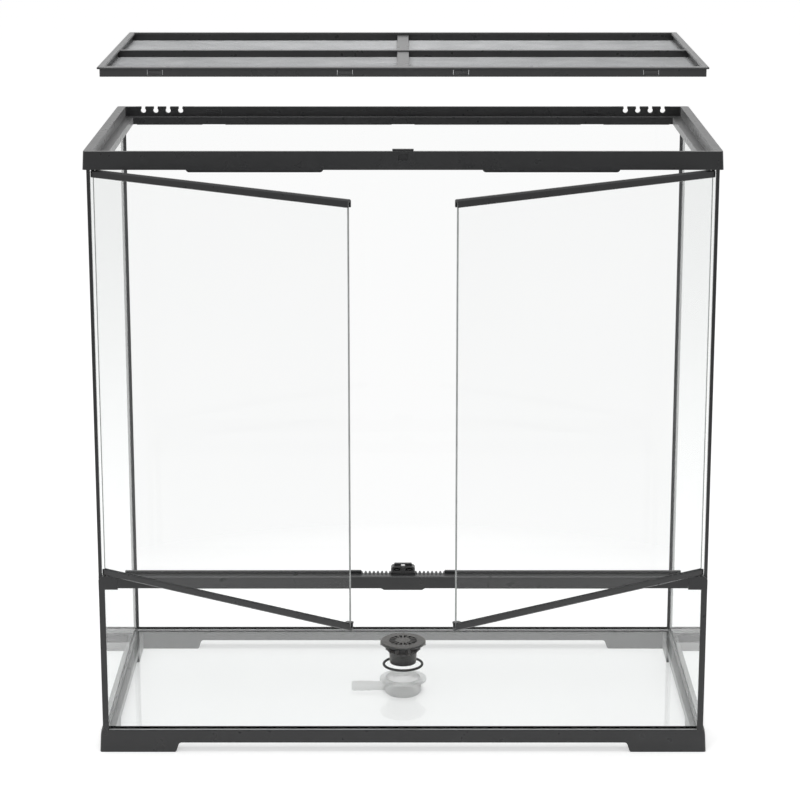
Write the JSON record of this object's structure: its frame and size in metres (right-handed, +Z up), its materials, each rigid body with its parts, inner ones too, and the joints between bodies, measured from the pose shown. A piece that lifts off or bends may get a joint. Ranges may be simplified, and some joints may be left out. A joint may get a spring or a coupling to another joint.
{
  "type": "paludarium",
  "caption": "Front-opening glass tank with hinged doors above a water bay, a lift-off screen lid, closable cable inlets and a floor drain.",
  "frame": {"origin": "on the floor, at the middle of the four feet", "axes": "+X right, +Y to the back (the doors face -Y), +Z up"},
  "size_m": [0.9, 0.6806, 1.0172],
  "materials": {
    "frame_black": "fine moulded matte",
    "vent_grey": "moulded matte",
    "drain_black": "moulded satin",
    "clear_glass": "clear float",
    "clear_silicone": "clear cured bead",
    "silicone": "satin cured bead",
    "seal_rubber": "matte",
    "elbow_clear": "translucent moulded",
    "screen_wire": "fine drawn wire",
    "spring_steel": "rolled strip",
    "pin_steel": "drawn"
  },
  "bodies": {
    "tank": {"base_frame": "frame_black", "bottom_glass": "clear_glass", "back_glass": "clear_glass", "front_window": "clear_glass", "right_glass": "clear_glass", "left_glass": "clear_glass", "rear_seams": "silicone", "floor_seams": "clear_silicone", "crossbar": "frame_black", "right_post": "frame_black", "left_post": "frame_black", "right_edge_trim": "frame_black", "left_edge_trim": "frame_black", "vent_grille": "vent_grey", "right_vent_cover": "frame_black", "left_vent_cover": "frame_black", "lock_housing": "frame_black", "lock_spring": "spring_steel", "top_frame": "frame_black", "lid_catches": "frame_black", "drain_elbow": "elbow_clear"},
    "left_door": {"left_door_glass": "clear_glass", "left_top_rail": "frame_black", "left_bottom_rail": "frame_black", "left_hinge_pins": "pin_steel"},
    "right_door": {"right_door_glass": "clear_glass", "right_top_rail": "frame_black", "right_bottom_rail": "frame_black", "right_hinge_pins": "pin_steel"},
    "lid": {"lid_frame": "frame_black", "left_front_screen": "screen_wire", "right_front_screen": "screen_wire", "left_rear_screen": "screen_wire", "right_rear_screen": "screen_wire"},
    "strainer": {"drain_strainer": "drain_black"},
    "seal": {"drain_seal": "seal_rubber"},
    "button": {"lock_button": "frame_black"},
    "latch": {"lid_latch": "frame_black"},
    "left_slider": {"left_inlet_slider": "frame_black"},
    "right_slider": {"right_inlet_slider": "frame_black"}
  },
  "joints": [
    {"name": "left_door_swing", "type": "hinge", "parent": "tank", "child": "left_door", "pos_m": [-0.432, -0.2175, 0.273], "axis": [0, 0, -1], "range_deg": [-33, 87]},
    {"name": "right_door_swing", "type": "hinge", "parent": "tank", "child": "right_door", "pos_m": [0.432, -0.2175, 0.273], "axis": [0, 0, 1], "range_deg": [-33, 87]},
    {"name": "lid_lift", "type": "slide", "parent": "tank", "child": "lid", "axis": [0, 0, 1], "range_m": [-0.118, 0.15]},
    {"name": "strainer_lift", "type": "slide", "parent": "tank", "child": "strainer", "axis": [0, 0, 1], "range_m": [-0.052, 0.02]},
    {"name": "seal_lift", "type": "slide", "parent": "tank", "child": "seal", "axis": [0, 0, 1], "range_m": [-0.019, 0.0075]},
    {"name": "lock_press", "type": "slide", "parent": "tank", "child": "button", "axis": [0, 0, -1], "range_m": [0, 0.003], "stiffness_N_per_m": 600},
    {"name": "latch_slide", "type": "slide", "parent": "tank", "child": "latch", "axis": [0, 1, 0], "range_m": [0, 0.0025]},
    {"name": "left_slider_shut", "type": "slide", "parent": "tank", "child": "left_slider", "axis": [1, 0, 0], "range_m": [0, 0.00975]},
    {"name": "right_slider_shut", "type": "slide", "parent": "tank", "child": "right_slider", "axis": [-1, 0, 0], "range_m": [0, 0.00975]}
  ],
  "couplings": [
    {"joint": "seal_lift", "follows": "strainer_lift", "ratio": 0.36538}
  ]
}
